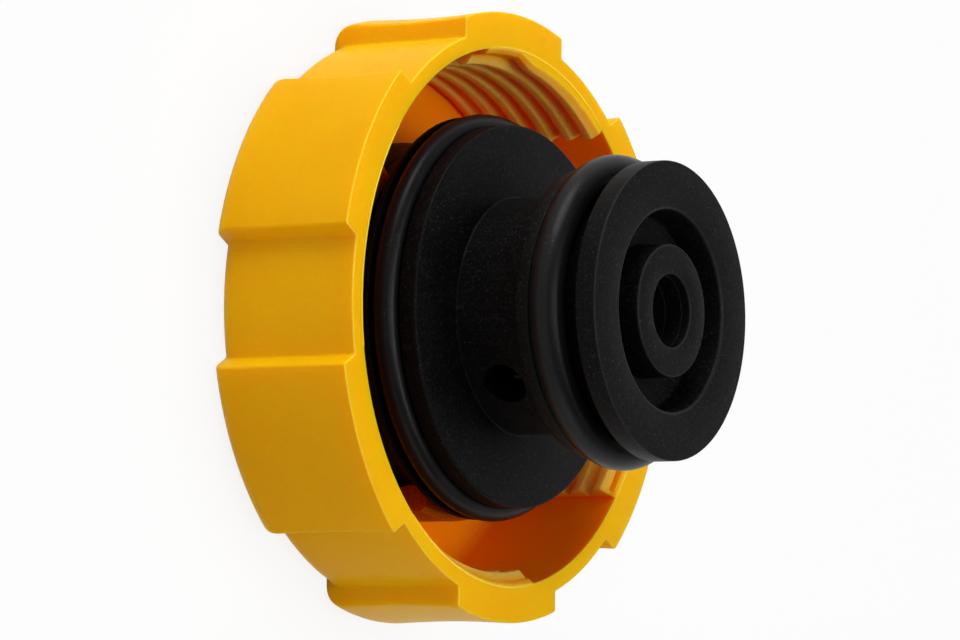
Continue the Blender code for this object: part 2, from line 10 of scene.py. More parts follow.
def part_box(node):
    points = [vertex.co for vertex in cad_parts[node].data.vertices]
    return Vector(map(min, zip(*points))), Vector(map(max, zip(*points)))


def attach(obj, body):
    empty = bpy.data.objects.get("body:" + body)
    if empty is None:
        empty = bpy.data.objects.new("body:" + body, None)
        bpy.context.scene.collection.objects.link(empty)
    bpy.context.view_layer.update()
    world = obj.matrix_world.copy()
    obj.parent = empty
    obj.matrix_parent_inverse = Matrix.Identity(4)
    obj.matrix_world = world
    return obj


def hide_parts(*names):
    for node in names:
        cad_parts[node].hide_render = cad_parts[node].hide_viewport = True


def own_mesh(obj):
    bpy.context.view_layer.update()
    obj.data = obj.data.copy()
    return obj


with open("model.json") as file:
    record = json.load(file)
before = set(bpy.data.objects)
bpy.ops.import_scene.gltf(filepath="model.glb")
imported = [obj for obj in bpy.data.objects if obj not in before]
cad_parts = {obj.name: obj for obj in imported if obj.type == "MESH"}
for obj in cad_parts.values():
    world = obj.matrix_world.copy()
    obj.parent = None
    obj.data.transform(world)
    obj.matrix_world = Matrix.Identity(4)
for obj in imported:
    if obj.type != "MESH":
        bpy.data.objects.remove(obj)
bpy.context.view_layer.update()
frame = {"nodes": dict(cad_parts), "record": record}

MM = 0.001

# Heights above the roof's outer face, from the frame
CAP_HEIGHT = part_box("screw_cap")[1].z
HOUSING_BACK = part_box("valve_housing")[0].z
TIP_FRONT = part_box("valve_housing")[1].z
LARGE_RING_LOW, LARGE_RING_HIGH = (corner.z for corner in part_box("large_o_ring"))
SMALL_RING_LOW, SMALL_RING_HIGH = (corner.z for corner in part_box("small_o_ring"))

# Screw cap
ROOF_WALL = 2.0 * MM
SKIRT_RADIUS = 30.4 * MM
SKIRT_BORE = 28.6 * MM
SHOULDER_ROUND = 2.6 * MM
CEILING_ROUND = 1.2 * MM
RIM_ROUND = 0.16 * MM
PAD_COUNT = 6
PAD_HEIGHT = 2.1 * MM
PAD_WIDTH_DEG = 37.0
PAD_CENTRE_DEG = 85.6
PAD_DRAFT_DEG = 1.2
PAD_SETBACK = 0.05 * MM
PAD_SINK = 0.22 * MM
PAD_CREST_ROUND = 0.38 * MM
PAD_FOOT_ROUND = 0.3 * MM
PAD_MARGIN_RAD = 0.1
BORE_EDGE_ROUND = 0.14 * MM
RIM_LAND = 0.6 * MM
ROOF_RINGS = (0.0, 0.25, 0.5, 0.75, 0.93)
SKIRT_RINGS = (0.15, 0.3, 0.45, 0.6, 0.75, 0.9)
# Threads and arms start inside the roof, so that they join it
SUNK_FOOT = 0.75 * ROOF_WALL

# Interrupted thread
SECTOR_COUNT = 4
SECTOR_START_DEG = 46.0
SECTOR_WIDTH_DEG = 50.0
SECTOR_RISE = 0.55 * MM
SECTOR_FOOTING = 0.3 * MM
SECTOR_BACK = SKIRT_BORE + SECTOR_FOOTING
SECTOR_END_ROUND = 0.16 * MM
SECTOR_STEPS = 48
THREAD_PITCH = 2.6 * MM
THREAD_DEPTH = 0.95 * MM
THREAD_CREST = 0.92 * MM
THREAD_ROUND = 0.3 * MM
THREAD_FOOT_ROUND = 0.7 * THREAD_ROUND
THREAD_START_DEG = 86.0
THREAD_START_DEPTH = 0.92 * MM
THREAD_START_REACH = THREAD_START_DEPTH + 0.7 * SECTOR_FOOTING
THREAD_RUN_OUT_DEG = 11.0
THREAD_ROOT_RADIUS = SKIRT_BORE - SECTOR_RISE
THREAD_CREST_RADIUS = THREAD_ROOT_RADIUS - THREAD_DEPTH
FLASH_WIDTH = 0.11 * MM
FLASH_STANDS = 0.06 * MM
FLASH_END_GAP_DEG = 0.4
FLASH_END_SHARE = 0.25
FLASH_FADE = 8
MOUTH_CUT_REACH = 5 * MM
MOUTH_CUT_DEPTH = 6 * MM

# Snap arms
ARM_COUNT = 3
ARM_CENTRE_DEG = 270.0
ARM_WIDTH_DEG = 40.0
ARM_BORE = 19.5 * MM
ARM_WALL = 2.1 * MM
ARM_EDGE = 0.5 * MM
HOOK_REACH = 0.9 * MM
HOOK_LEAD = 0.9 * MM

# Valve housing
BEAD_FRONT = HOUSING_BACK + 2.2 * MM
HOOK_BACK = BEAD_FRONT + 3.0 * MM
SHOULDER_BACK = HOUSING_BACK + 9.8 * MM
SHOULDER_FRONT = SHOULDER_BACK + 0.7 * MM
ARM_TOP = SHOULDER_BACK - 2.0 * MM
FLANGE_BACK = LARGE_RING_HIGH + 0.25 * MM
FLANGE_FRONT = FLANGE_BACK + 2.05 * MM
SMALL_FLANGE_BACK = FLANGE_FRONT + 8.85 * MM
SMALL_FLANGE_FRONT = SMALL_RING_LOW - 0.3 * MM
TIP_BACK = TIP_FRONT - 2.35 * MM
RECESS_FLOOR = TIP_FRONT - 3.6 * MM
STEM_CHAMBER_END = RECESS_FLOOR - 2.4 * MM
SEAT_FACE = STEM_CHAMBER_END - 1.0 * MM
CHAMBER_STEP = FLANGE_FRONT - 2.3 * MM
COVER_SEAT = HOUSING_BACK + 2.1 * MM
BODY_RADIUS = 19.2 * MM
HOOK_FLOOR = BODY_RADIUS - HOOK_REACH
SHOULDER_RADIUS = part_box("valve_housing")[1].x
FLANGE_RADIUS = SHOULDER_RADIUS - 1.1 * MM
STEM_RADIUS = 12.6 * MM
SMALL_FLANGE_RADIUS = STEM_RADIUS + 2.75 * MM
TIP_RADIUS = SMALL_FLANGE_RADIUS + 0.35 * MM
HUB_RADIUS = 6.95 * MM
BORE_RADIUS = 3.86 * MM
BORE_STEP = 0.18 * MM
BORE_STEP_DEPTHS = (1.05 * MM, 2.9 * MM)
SEAT_LIP_FOOT = 1.4 * MM
SEAT_LIP_WIDTH = 1.0 * MM
SEAT_BORE = BORE_RADIUS - 2 * BORE_STEP
CHAMBER_RADIUS = HOOK_FLOOR - 2.3 * MM
STEM_CHAMBER = STEM_RADIUS - 2.3 * MM
COVER_BORE = CHAMBER_RADIUS + 1.3 * MM
SIDE_HOLE_RADIUS = 2.4 * MM
SIDE_HOLE_HEIGHT = 4.3 * MM
SIDE_HOLE_DEG = 215.0
SIDE_HOLE_OVERCUT = 4 * MM

# Seal rings
LARGE_RING_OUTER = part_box("large_o_ring")[1].x
SMALL_RING_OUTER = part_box("small_o_ring")[1].x
RING_GAP = 0.25 * MM
FLASH_SWELL = 0.012 * MM
FLASH_SPREAD = 0.08
# How far the small ring, squeezed in its groove, spreads past its solid below and above
SMALL_RING_SPREAD = (0.22 * MM, 0.1 * MM)
LARGE_RING_FLOOR = LARGE_RING_OUTER - (LARGE_RING_HIGH - LARGE_RING_LOW) - RING_GAP
SMALL_RING_FLOOR = SMALL_RING_OUTER - (SMALL_RING_HIGH - SMALL_RING_LOW) - RING_GAP
RECESS_RADIUS = SMALL_RING_FLOOR - 2.35 * MM
RECESS_DRAFT = 0.4 * MM

# How finely round forms are drawn
ROUND_STEPS = 224
ALL_ROUND = tuple(i * (2 * math.pi / ROUND_STEPS) for i in range(ROUND_STEPS))
RING_STEPS = 72
SHOULDER_STEPS = 8
RIM_STEPS = 4
PAD_ROUND_STEPS = 6
PAD_CREST_STEPS = 14
PAD_RECESS_STEPS = 6
PAD_FLANK_POINTS = (0.33, 0.67)
SIDE_HOLE_STEPS = 64
ARM_STEPS = 30
FLASH_STEPS = 40
FLASH_ROUND_STEPS = 4
SHARP_EDGE_DEG = 30.0
ON_AXIS = 1e-7

# The photographed view: how the cap's axis leans from the line of sight,
# and where the middle of the rim is from the camera
AXIS_LEAN_DEG = 57.78
AXIS_ROLL_DEG = -2.25
RIM_FROM_CAMERA = Vector((3.37, -0.32, 531.5)) * MM
FOCAL_PIXELS = 5000.0
IMAGE_WIDTH = 960.0
SENSOR_WIDTH = 36.0


# Meshes

def arc_points(corners, closed=True, fineness=6):
    """Profile points from corners (radius, height, round), each round drawn as an arc."""
    points = []
    count = len(corners)
    for index, corner in enumerate(corners):
        x, z = corner[:2]
        radius = corner[2] if len(corner) > 2 else 0.0
        if radius <= 0.0 or (not closed and index in (0, count - 1)):
            points.append((x, z))
            continue
        here = Vector((x, z))
        before = (Vector(corners[index - 1][:2]) - here).normalized()
        after = (Vector(corners[(index + 1) % count][:2]) - here).normalized()
        half = 0.5 * before.angle(after)
        centre = here + (before + after).normalized() * (radius / math.sin(half))
        first = here + before * (radius / math.tan(half)) - centre
        last = here + after * (radius / math.tan(half)) - centre
        start = math.atan2(first.y, first.x)
        sweep = (math.atan2(last.y, last.x) - start + math.pi) % (2 * math.pi) - math.pi
        for step in range(fineness + 1):
            angle = start + sweep * step / fineness
            points.append((centre.x + radius * math.cos(angle), centre.y + radius * math.sin(angle)))
    return points


def loft(work, rings, closed_ends=False, caps=False):
    """Quads between rings of points; a ring of one point is a pole."""
    rows = [[work.verts.new(point) for point in ring] for ring in rings]
    pairs = list(zip(rows, rows[1:]))
    if closed_ends:
        pairs.append((rows[-1], rows[0]))
    for low, high in pairs:
        count = max(len(low), len(high))
        for index in range(count):
            following = (index + 1) % count
            if len(low) == 1:
                work.faces.new((low[0], high[following], high[index]))
            elif len(high) == 1:
                work.faces.new((low[index], low[following], high[0]))
            else:
                work.faces.new((low[index], low[following], high[following], high[index]))
    if caps:
        work.faces.new(list(reversed(rows[0])))
        work.faces.new(rows[-1])


def circle_at(radius, height, angles=ALL_ROUND):
    """Points round the axis at the given angles, or one point where the circle closes on the axis."""
    if radius < ON_AXIS:
        return [(0.0, 0.0, height)]
    return [(radius * math.cos(angle), radius * math.sin(angle), height) for angle in angles]


def stood_at(angle, section):
    """A section's points (radius, height), stood at an angle round the axis."""
    return [(radius * math.cos(angle), radius * math.sin(angle), height) for radius, height in section]


def finished_mesh(name, work):
    bmesh.ops.recalc_face_normals(work, faces=work.faces)
    mesh = bpy.data.meshes.new(name)
    work.to_mesh(mesh)
    work.free()
    return mesh


def turned_mesh(name, corners, closed=True, fineness=6):
    work = bmesh.new()
    rings = [circle_at(radius, height) for radius, height in arc_points(corners, closed, fineness)]
    loft(work, rings, closed_ends=closed)
    return finished_mesh(name, work)


def shown(name, mesh, body, node_name, material):
    """A finished piece that rides on its body and stands for its node."""
    obj = bpy.data.objects.new(name, mesh)
    bpy.context.scene.collection.objects.link(obj)
    mesh.materials.clear()
    mesh.materials.append(material)
    mesh.shade_smooth()
    mesh.set_sharp_from_angle(angle=math.radians(SHARP_EDGE_DEG))
    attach(obj, body)
    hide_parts(node_name)
    return obj


def helper(name, mesh):
    obj = bpy.data.objects.new(name, mesh)
    bpy.context.scene.collection.objects.link(obj)
    return obj


def combined(mesh, other, operation):
    """The mesh joined with or cut by another; the other is used up."""
    base = helper("base", mesh)
    tool = helper("tool", other)
    modifier = base.modifiers.new("combine", "BOOLEAN")
    modifier.operation = operation
    modifier.object = tool
    modifier.solver = "EXACT"
    bpy.context.view_layer.update()
    evaluated = base.evaluated_get(bpy.context.evaluated_depsgraph_get())
    result = bpy.data.meshes.new_from_object(evaluated)
    for obj in (base, tool):
        bpy.data.objects.remove(obj, do_unlink=True)
    return result


# Yellow screw cap

def pad_outline():
    """The skirt's outline once round, as points across the axis: pads and the recesses between."""
    half_foot = math.radians(PAD_WIDTH_DEG / 2)
    half_crest = half_foot - math.radians(PAD_DRAFT_DEG)
    pitch = 2 * math.pi / PAD_COUNT
    outer = SKIRT_RADIUS + PAD_HEIGHT
    foot = Vector((SKIRT_RADIUS * math.cos(half_foot), SKIRT_RADIUS * math.sin(half_foot)))
    crest = Vector((outer * math.cos(half_crest), outer * math.sin(half_crest)))
    beyond, within = half_foot + PAD_MARGIN_RAD, half_crest - PAD_MARGIN_RAD
    recess = Vector((SKIRT_RADIUS * math.cos(beyond), SKIRT_RADIUS * math.sin(beyond)))
    inside = Vector((outer * math.cos(within), outer * math.sin(within)))
    corners = [(*inside, 0.0), (*crest, PAD_CREST_ROUND), (*foot, PAD_FOOT_ROUND), (*recess, 0.0)]
    flank = [Vector(p) for p in arc_points(corners, closed=False, fineness=PAD_ROUND_STEPS)[1:-1]]
    split = PAD_ROUND_STEPS + 1
    middle = [flank[split - 1].lerp(flank[split], share) for share in PAD_FLANK_POINTS]
    flank = flank[:split] + middle + flank[split:]
    first_angle = math.atan2(flank[0].y, flank[0].x)
    last_angle = math.atan2(flank[-1].y, flank[-1].x)
    half = [Vector((outer * math.cos(a), outer * math.sin(a)))
            for a in (first_angle * i / PAD_CREST_STEPS for i in range(PAD_CREST_STEPS))]
    half += flank
    gap = pitch / 2 - last_angle
    half += [Vector((SKIRT_RADIUS * math.cos(a), SKIRT_RADIUS * math.sin(a)))
             for a in (last_angle + gap * i / PAD_RECESS_STEPS for i in range(1, PAD_RECESS_STEPS + 1))]
    mirrored = [Vector((p.x, -p.y)) for p in half[1:-1]]
    one_pad = list(reversed(mirrored)) + half
    points = []
    for index in range(PAD_COUNT):
        spin = Matrix.Rotation(math.radians(PAD_CENTRE_DEG) + pitch * index, 2)
        points += [spin @ p for p in one_pad]
    return points


def outline_normals(points):
    count = len(points)
    normals = []
    for index in range(count):
        along = points[(index + 1) % count] - points[index - 1]
        normals.append(Vector((along.y, -along.x)).normalized())
    return normals


def quarter_round(radius, steps):
    """Pairs (inset, rise) round a quarter circle, from the side to the face."""
    return [(radius * (1 - math.cos(math.pi / 2 * i / steps)), radius * math.sin(math.pi / 2 * i / steps))
            for i in range(steps + 1)]


def cap_shell():
    """Roof, skirt and pads as one skin over the outline; the pads sink a little at mid-length."""
    outline = pad_outline()
    normals = outline_normals(outline)
    angles = [math.atan2(p.y, p.x) for p in outline]
    shares = [(p.length - SKIRT_RADIUS) / PAD_HEIGHT for p in outline]
    rings = [circle_at(part * (SKIRT_RADIUS - SHOULDER_ROUND), 0.0, angles) for part in ROOF_RINGS]
    for inset, rise in reversed(quarter_round(SHOULDER_ROUND, SHOULDER_STEPS)):
        ring = []
        for point, share in zip(outline, shares):
            scale = (point.length - inset) / point.length
            height = SHOULDER_ROUND - rise + PAD_SETBACK * max(0.0, share)
            ring.append((point.x * scale, point.y * scale, height))
        rings.append(ring)
    straight = CAP_HEIGHT - SHOULDER_ROUND
    for part in SKIRT_RINGS:
        sink = PAD_SINK * math.sin(math.pi * part)
        ring = []
        for point, share in zip(outline, shares):
            scale = (point.length - sink * max(0.0, share)) / point.length
            ring.append((point.x * scale, point.y * scale, SHOULDER_ROUND + part * straight))
        rings.append(ring)
    for inset, rise in quarter_round(RIM_ROUND, RIM_STEPS):
        height = CAP_HEIGHT - RIM_ROUND + rise
        rings.append([(p.x - n.x * inset, p.y - n.y * inset, height) for p, n in zip(outline, normals)])
    inner = arc_points([
        (SKIRT_BORE + RIM_LAND, CAP_HEIGHT),
        (SKIRT_BORE, CAP_HEIGHT, BORE_EDGE_ROUND),
        (SKIRT_BORE, ROOF_WALL, CEILING_ROUND),
        (0.5 * SKIRT_BORE, ROOF_WALL),
        (0.0, ROOF_WALL),
    ], closed=False, fineness=4)
    rings += [circle_at(radius, height, angles) for radius, height in inner]
    work = bmesh.new()
    loft(work, rings)
    return finished_mesh("cap_shell", work)


def ridge_middle(helix_deg):
    """Height of the ridge's middle where the helix has turned to helix_deg."""
    return CAP_HEIGHT - THREAD_START_DEPTH + THREAD_PITCH * (helix_deg - THREAD_START_DEG) / 360.0


def sector_ridges(start_deg):
    """Corners of the ridges in one sector's section, from the mouth down, where the sector starts."""
    flank = (THREAD_PITCH - THREAD_CREST) / 2
    turns = math.ceil((start_deg + SECTOR_WIDTH_DEG - THREAD_START_DEG) / 360.0)
    middle = ridge_middle(start_deg - 360.0 * max(1, turns))
    corners = []
    while middle - THREAD_CREST / 2 > SUNK_FOOT:
        corners.append((THREAD_ROOT_RADIUS, middle + THREAD_CREST / 2 + flank, THREAD_FOOT_ROUND))
        corners.append((THREAD_CREST_RADIUS, middle + THREAD_CREST / 2, THREAD_ROUND))
        corners.append((THREAD_CREST_RADIUS, middle - THREAD_CREST / 2, THREAD_ROUND))
        middle -= THREAD_PITCH
    end = max(SUNK_FOOT, middle + THREAD_PITCH / 2)
    return [*corners, (THREAD_ROOT_RADIUS, end), (SECTOR_BACK, end)]


def end_shortfall(share, width_deg):
    """How much lower a ridge is near its ends, where its corners are rounded."""
    ease = min(share, 1 - share) * math.radians(width_deg) * SKIRT_BORE
    drop = max(0.0, SECTOR_END_ROUND - ease)
    return SECTOR_END_ROUND - math.sqrt(max(0.0, SECTOR_END_ROUND ** 2 - drop ** 2))


def spread_steps(count):
    """Shares from 0 to 1 that lie closer together at both ends."""
    return [0.5 - 0.5 * math.cos(math.pi * step / count) for step in range(count + 1)]


def sector_mesh():
    """Four thread sectors: each a chamfered land at the mouth, and ridges of one right-hand helix."""
    work = bmesh.new()
    land = [(SECTOR_BACK, CAP_HEIGHT + SECTOR_FOOTING),
            (THREAD_ROOT_RADIUS, CAP_HEIGHT - SECTOR_RISE, 0.2 * MM)]
    for sector in range(SECTOR_COUNT):
        start = SECTOR_START_DEG + 360.0 / SECTOR_COUNT * sector
        ridges = sector_ridges(start)
        rings = []
        for share in spread_steps(SECTOR_STEPS):
            angle = math.radians(start + SECTOR_WIDTH_DEG * share)
            climb = THREAD_PITCH * SECTOR_WIDTH_DEG / 360.0 * share
            short = end_shortfall(share, SECTOR_WIDTH_DEG)
            climbing = [(radius, height + climb, *rounding) for radius, height, *rounding in ridges]
            section = arc_points([*land, *climbing], fineness=3)
            rings.append(stood_at(angle, [(r + short * (r < SECTOR_BACK), z) for r, z in section]))
        loft(work, rings, caps=True)
    return finished_mesh("thread_sectors", work)


def first_ridge_mesh():
    """The ridge in the first sector that runs out in an S and sinks into the land before the mouth."""
    work = bmesh.new()
    slope = (THREAD_PITCH - THREAD_CREST) / 2 / THREAD_DEPTH
    spread = THREAD_CREST / 2 + slope * (SECTOR_BACK - THREAD_CREST_RADIUS)
    width = THREAD_START_DEG - SECTOR_START_DEG
    rings = []
    for share in spread_steps(SECTOR_STEPS):
        helix = SECTOR_START_DEG + width * share
        middle = ridge_middle(helix)
        faded = min(1.0, max(0.0, (helix - THREAD_START_DEG) / THREAD_RUN_OUT_DEG + 1.0))
        faded = faded * faded * (3 - 2 * faded)
        crest = THREAD_CREST_RADIUS + (THREAD_DEPTH + SECTOR_FOOTING) * faded
        reach = spread + faded * (THREAD_START_REACH - spread)
        crest += end_shortfall(min(share, 0.5), width)
        section = arc_points([
            (SECTOR_BACK, middle + reach),
            (crest, middle + THREAD_CREST / 2, THREAD_ROUND),
            (crest, middle - THREAD_CREST / 2, THREAD_ROUND),
            (SECTOR_BACK, middle - spread),
        ], fineness=3)
        rings.append(stood_at(math.radians(helix), section))
    loft(work, rings, caps=True)
    return finished_mesh("thread_start", work)


def mouth_mesh():
    """What the mouth cuts away: all that stands above the rim's flat face."""
    far = SKIRT_RADIUS + MOUTH_CUT_REACH
    top = CAP_HEIGHT + MOUTH_CUT_DEPTH
    corners = [(0.0, top), (far, top), (far, CAP_HEIGHT), (0.0, CAP_HEIGHT)]
    return turned_mesh("mouth", corners, closed=False)


def swept_bead(work, radius, height, start_deg, width_deg, half_width, stands):
    """A fine raised line round the axis that fades at both ends."""
    arc = [math.pi * i / FLASH_ROUND_STEPS for i in range(FLASH_ROUND_STEPS + 1)]
    section = [(half_width * math.cos(a), stands * math.sin(a)) for a in arc]
    section += [(-half_width, -stands), (half_width, -stands)]
    rings = []
    for share in spread_steps(FLASH_STEPS):
        angle = math.radians(start_deg + width_deg * share)
        full = min(1.0, FLASH_FADE * share, FLASH_FADE * (1 - share))
        size = FLASH_END_SHARE + (1 - FLASH_END_SHARE) * full
        rings.append(stood_at(angle, [(radius + r * size, height + z * size) for r, z in section]))
    loft(work, rings, caps=True)


def flash_mesh():
    """Fine flash lines on the rim along each thread sector, where two parts of the mould met."""
    work = bmesh.new()
    for sector in range(SECTOR_COUNT):
        start = SECTOR_START_DEG + 360.0 / SECTOR_COUNT * sector
        swept_bead(work, SKIRT_BORE + FLASH_WIDTH, CAP_HEIGHT, start + FLASH_END_GAP_DEG,
                   SECTOR_WIDTH_DEG - 2 * FLASH_END_GAP_DEG, FLASH_WIDTH, FLASH_STANDS)
    return finished_mesh("flash_lines", work)


def arm_mesh():
    """Three snap arms on the ceiling, each with a ramped hook in front of the insert's bead."""
    work = bmesh.new()
    outer = ARM_BORE + ARM_WALL
    corners = [
        (outer - ARM_EDGE, ARM_TOP, 0.15 * MM),
        (outer, ARM_TOP - ARM_EDGE, 0.15 * MM),
        (outer, SUNK_FOOT),
        (ARM_BORE, SUNK_FOOT),
        (ARM_BORE, BEAD_FRONT, 0.2 * MM),
        (ARM_BORE - HOOK_REACH, HOOK_BACK, 0.15 * MM),
        (ARM_BORE - HOOK_REACH, ARM_TOP - HOOK_LEAD, 0.15 * MM),
        (ARM_BORE, ARM_TOP, 0.15 * MM),
    ]
    section = arc_points(corners, fineness=3)
    for arm in range(ARM_COUNT):
        start = ARM_CENTRE_DEG + 360.0 / ARM_COUNT * arm - ARM_WIDTH_DEG / 2
        angles = [math.radians(start + ARM_WIDTH_DEG * i / ARM_STEPS) for i in range(ARM_STEPS + 1)]
        loft(work, [stood_at(angle, section) for angle in angles], caps=True)
    return finished_mesh("snap_arms", work)


def screw_cap():
    threads = combined(sector_mesh(), first_ridge_mesh(), "UNION")
    threads = combined(threads, mouth_mesh(), "DIFFERENCE")
    shell = combined(cap_shell(), threads, "UNION")
    shell = combined(shell, flash_mesh(), "UNION")
    return combined(shell, arm_mesh(), "UNION")


# Black valve insert

def housing_corners():
    """The housing's section as (radius, height, round): down its outside, then up its inside."""
    outside = [
        (TIP_RADIUS, TIP_FRONT, 0.15 * MM),
        (TIP_RADIUS, TIP_BACK, 0.12 * MM),
        (SMALL_RING_FLOOR, TIP_BACK, 0.2 * MM),
        (SMALL_RING_FLOOR, SMALL_FLANGE_FRONT, 0.2 * MM),
        (SMALL_FLANGE_RADIUS, SMALL_FLANGE_FRONT, 0.2 * MM),
        (SMALL_FLANGE_RADIUS, SMALL_FLANGE_BACK, 0.2 * MM),
        (STEM_RADIUS, SMALL_FLANGE_BACK, 0.3 * MM),
        (STEM_RADIUS, FLANGE_FRONT, 0.2 * MM),
        (FLANGE_RADIUS, FLANGE_FRONT, 0.28 * MM),
        (FLANGE_RADIUS, FLANGE_BACK, 0.12 * MM),
        (LARGE_RING_FLOOR, FLANGE_BACK, 0.2 * MM),
        (LARGE_RING_FLOOR, SHOULDER_FRONT, 0.2 * MM),
        (SHOULDER_RADIUS, SHOULDER_FRONT, 0.12 * MM),
        (SHOULDER_RADIUS, SHOULDER_BACK, 0.25 * MM),
        (HOOK_FLOOR, SHOULDER_BACK),
        (HOOK_FLOOR, HOOK_BACK, 0.5 * MM),
        (BODY_RADIUS, BEAD_FRONT, 0.3 * MM),
        (BODY_RADIUS, HOUSING_BACK, 0.35 * MM),
    ]
    inside = [
        (COVER_BORE, HOUSING_BACK, 0.1 * MM),
        (COVER_BORE, COVER_SEAT),
        (CHAMBER_RADIUS, COVER_SEAT),
        (CHAMBER_RADIUS, CHAMBER_STEP, 0.4 * MM),
        (STEM_CHAMBER, CHAMBER_STEP, 0.2 * MM),
        (STEM_CHAMBER, STEM_CHAMBER_END, 0.4 * MM),
        (SEAT_BORE + SEAT_LIP_FOOT, STEM_CHAMBER_END, 0.1 * MM),
        (SEAT_BORE + SEAT_LIP_WIDTH, SEAT_FACE, 0.1 * MM),
        (SEAT_BORE, SEAT_FACE, 0.15 * MM),
        (SEAT_BORE, TIP_FRONT - BORE_STEP_DEPTHS[1], 0.05 * MM),
        (BORE_RADIUS - BORE_STEP, TIP_FRONT - BORE_STEP_DEPTHS[1], 0.05 * MM),
        (BORE_RADIUS - BORE_STEP, TIP_FRONT - BORE_STEP_DEPTHS[0], 0.05 * MM),
        (BORE_RADIUS, TIP_FRONT - BORE_STEP_DEPTHS[0], 0.05 * MM),
        (BORE_RADIUS, TIP_FRONT, 0.2 * MM),
        (HUB_RADIUS, TIP_FRONT, 0.24 * MM),
        (HUB_RADIUS, RECESS_FLOOR, 0.2 * MM),
        (RECESS_RADIUS - RECESS_DRAFT, RECESS_FLOOR, 0.3 * MM),
        (RECESS_RADIUS, TIP_FRONT, 0.45 * MM),
    ]
    return outside + inside


def side_hole_mesh():
    work = bmesh.new()
    depth = STEM_RADIUS - STEM_CHAMBER
    for index in range(2):
        turn = Matrix.Rotation(math.radians(SIDE_HOLE_DEG + 180.0 * index), 4, "Z")
        middle = Matrix.Translation((STEM_RADIUS - depth / 2, 0.0, FLANGE_FRONT + SIDE_HOLE_HEIGHT))
        lie = Matrix.Rotation(math.pi / 2, 4, "Y")
        bmesh.ops.create_cone(work, cap_ends=True, segments=SIDE_HOLE_STEPS, radius1=SIDE_HOLE_RADIUS,
                              radius2=SIDE_HOLE_RADIUS, depth=depth + SIDE_HOLE_OVERCUT,
                              matrix=turn @ middle @ lie)
    return finished_mesh("side_holes", work)


def valve_housing():
    body = turned_mesh("valve_housing", housing_corners(), fineness=4)
    return combined(body, side_hole_mesh(), "DIFFERENCE")


def seal_ring(name, low, high, outer, inner):
    """A rubber ring with the faint flash line that its mould leaves."""
    half_width, half_height = (outer - inner) / 2, (high - low) / 2
    centre, middle = (outer + inner) / 2, (low + high) / 2
    points = []
    for step in range(RING_STEPS):
        angle = 2 * math.pi * step / RING_STEPS
        swell = FLASH_SWELL * (math.exp(-(math.sin(angle) / FLASH_SPREAD) ** 2) - 1.0)
        points.append((centre + (half_width + swell) * math.cos(angle),
                       middle + (half_height + swell) * math.sin(angle)))
    work = bmesh.new()
    loft(work, [circle_at(radius, height) for radius, height in points], closed_ends=True)
    return finished_mesh(name, work)


# Shader groups

def group(name, inputs, outputs):
    tree = bpy.data.node_groups.new(name, "ShaderNodeTree")
    for label, kind, default in inputs:
        tree.interface.new_socket(label, in_out="INPUT", socket_type=kind).default_value = default
    for label, kind in outputs:
        tree.interface.new_socket(label, in_out="OUTPUT", socket_type=kind)
    return tree, tree.nodes.new("NodeGroupInput"), tree.nodes.new("NodeGroupOutput")


def node(tree, kind, **settings):
    made = tree.nodes.new(kind)
    for key, value in settings.items():
        if key in made.inputs:
            made.inputs[key].default_value = value
        else:
            setattr(made, key, value)
    return made


def wire(tree, *pairs):
    for source, target in pairs:
        tree.links.new(source, target)


def maths(tree, operation, first, second=None, third=None, clamp=False):
    made = node(tree, "ShaderNodeMath", operation=operation, use_clamp=clamp)
    for index, value in enumerate((first, second, third)):
        if value is None:
            continue
        if isinstance(value, (int, float)):
            made.inputs[index].default_value = value
        else:
            tree.links.new(value, made.inputs[index])
    return made.outputs[0]


def coordinates(tree, kind):
    """X, Y and Z of a texture coordinate, such as the place on a piece or the way that it faces."""
    place = node(tree, "ShaderNodeTexCoord")
    split = node(tree, "ShaderNodeSeparateXYZ")
    wire(tree, (place.outputs[kind], split.inputs["Vector"]))
    return split.outputs["X"], split.outputs["Y"], split.outputs["Z"]


def from_axis(tree, x, y):
    """Distance from the part's axis."""
    flat = node(tree, "ShaderNodeCombineXYZ")
    across = node(tree, "ShaderNodeVectorMath", operation="LENGTH")
    wire(tree, (x, flat.inputs["X"]), (y, flat.inputs["Y"]), (flat.outputs["Vector"], across.inputs[0]))
    return across.outputs["Value"]


def grain_group():
    """Fine moulded grain as a height for bump, and slow mottling as a mask."""
    tree, given, out = group("moulded_grain", [
        ("Grain Scale", "NodeSocketFloat", 3000.0),
        ("Mottle Scale", "NodeSocketFloat", 120.0),
    ], [("Height", "NodeSocketFloat"), ("Mottle", "NodeSocketFloat")])
    place = node(tree, "ShaderNodeTexCoord")
    fine = node(tree, "ShaderNodeTexNoise", Detail=3.0, Roughness=0.6)
    slow = node(tree, "ShaderNodeTexNoise", Detail=4.0, Roughness=0.55)
    wire(tree,
         (place.outputs["Object"], fine.inputs["Vector"]),
         (place.outputs["Object"], slow.inputs["Vector"]),
         (given.outputs["Grain Scale"], fine.inputs["Scale"]),
         (given.outputs["Mottle Scale"], slow.inputs["Scale"]),
         (fine.outputs["Fac"], out.inputs["Height"]), (slow.outputs["Fac"], out.inputs["Mottle"]))
    return tree


SPECK_RADIUS = 0.2
PATCH_GAIN_AND_OFFSET = (4.0, -1.6)


